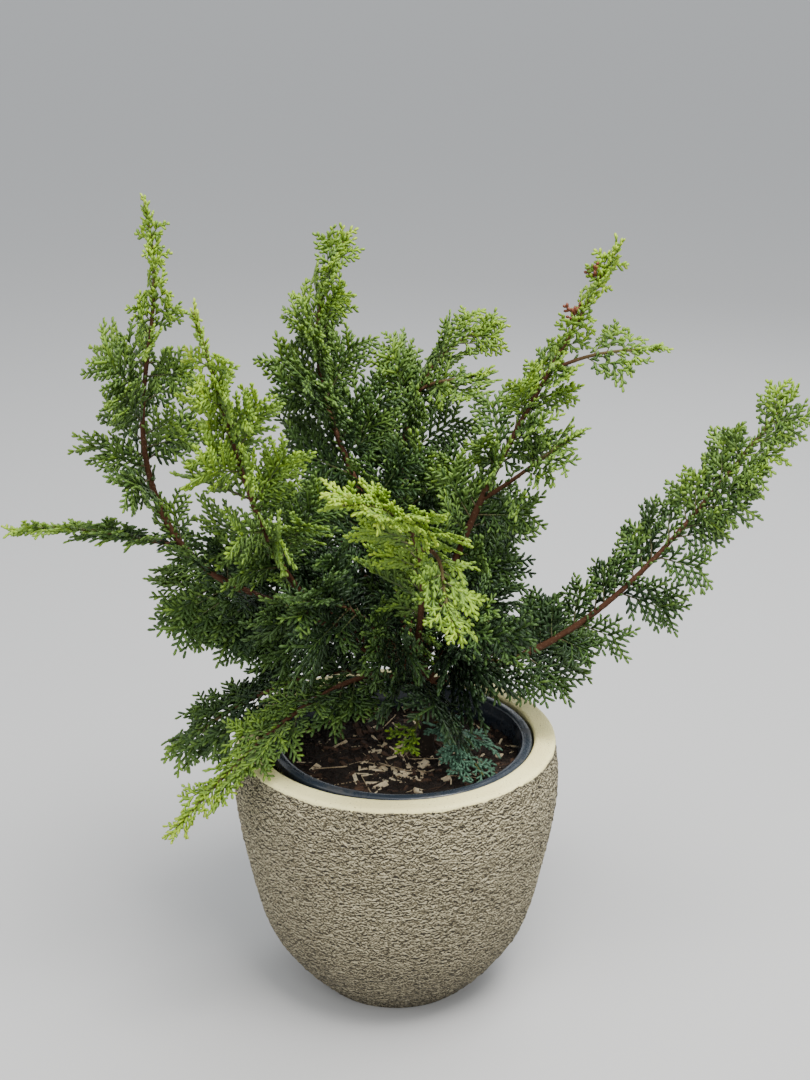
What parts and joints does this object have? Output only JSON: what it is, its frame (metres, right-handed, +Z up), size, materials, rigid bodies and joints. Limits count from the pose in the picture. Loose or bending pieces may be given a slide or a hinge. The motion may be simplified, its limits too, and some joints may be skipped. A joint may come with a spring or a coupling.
{
  "type": "potted conifer",
  "caption": "Dwarf conifer with fan-shaped sprays of scale leaves on upswept red-brown boughs, in a black nursery pot inside a round gritty planter.",
  "frame": {"origin": "the middle of the planter's flat underside", "axes": "+Z up; +X to the right and -Y towards the viewer, as the plant is seen in the picture"},
  "size_m": [0.6828, 0.4747, 0.7522],
  "materials": {
    "planter": "gritty cast wall with pale ridges and a smooth cream lip",
    "nursery_pot": "moulded, half gloss",
    "compost": "loose bark compost with pale wood chips",
    "bark": "flaking red-brown bark, greyer on the trunk",
    "foliage": "scale leaves, deep green inside and yellow-green at the tips"
  },
  "bodies": {
    "root": {"planter": "planter", "nursery_pot": "nursery_pot", "compost": "compost", "trunk": "bark", "left_bough": "bark", "left_leader": "bark", "left_shoot": "bark", "left_low_bough": "bark", "front_left_bough": "bark", "centre_bough": "bark", "back_bough": "bark", "back_fork": "bark", "right_bough": "bark", "right_fork": "bark", "right_spur": "bark", "far_right_bough": "bark", "front_bough": "bark", "front_fork": "bark", "low_front_bough": "bark", "low_left_bough": "bark", "left_skirt_bough": "bark", "heart_left_bough": "bark", "heart_right_bough": "bark", "heart_front_bough": "bark", "low_right_bough": "bark", "rear_left_bough": "bark", "rear_right_bough": "bark", "rear_low_bough": "bark", "rear_low_left_bough": "bark", "rear_low_right_bough": "bark", "left_foliage": "foliage", "left_leader_foliage": "foliage", "left_shoot_foliage": "foliage", "left_low_foliage": "foliage", "front_left_foliage": "foliage", "centre_foliage": "foliage", "back_foliage": "foliage", "back_fork_foliage": "foliage", "right_foliage": "foliage", "right_fork_foliage": "foliage", "right_spur_foliage": "foliage", "far_right_foliage": "foliage", "front_foliage": "foliage", "front_fork_foliage": "foliage", "low_front_foliage": "foliage", "low_left_foliage": "foliage", "left_skirt_foliage": "foliage", "heart_left_foliage": "foliage", "heart_right_foliage": "foliage", "heart_front_foliage": "foliage", "low_right_foliage": "foliage", "rear_left_foliage": "foliage", "rear_right_foliage": "foliage", "rear_low_foliage": "foliage", "rear_low_left_foliage": "foliage", "rear_low_right_foliage": "foliage", "front_sprig": "foliage", "right_sprig": "foliage"}
  },
  "joints": []
}
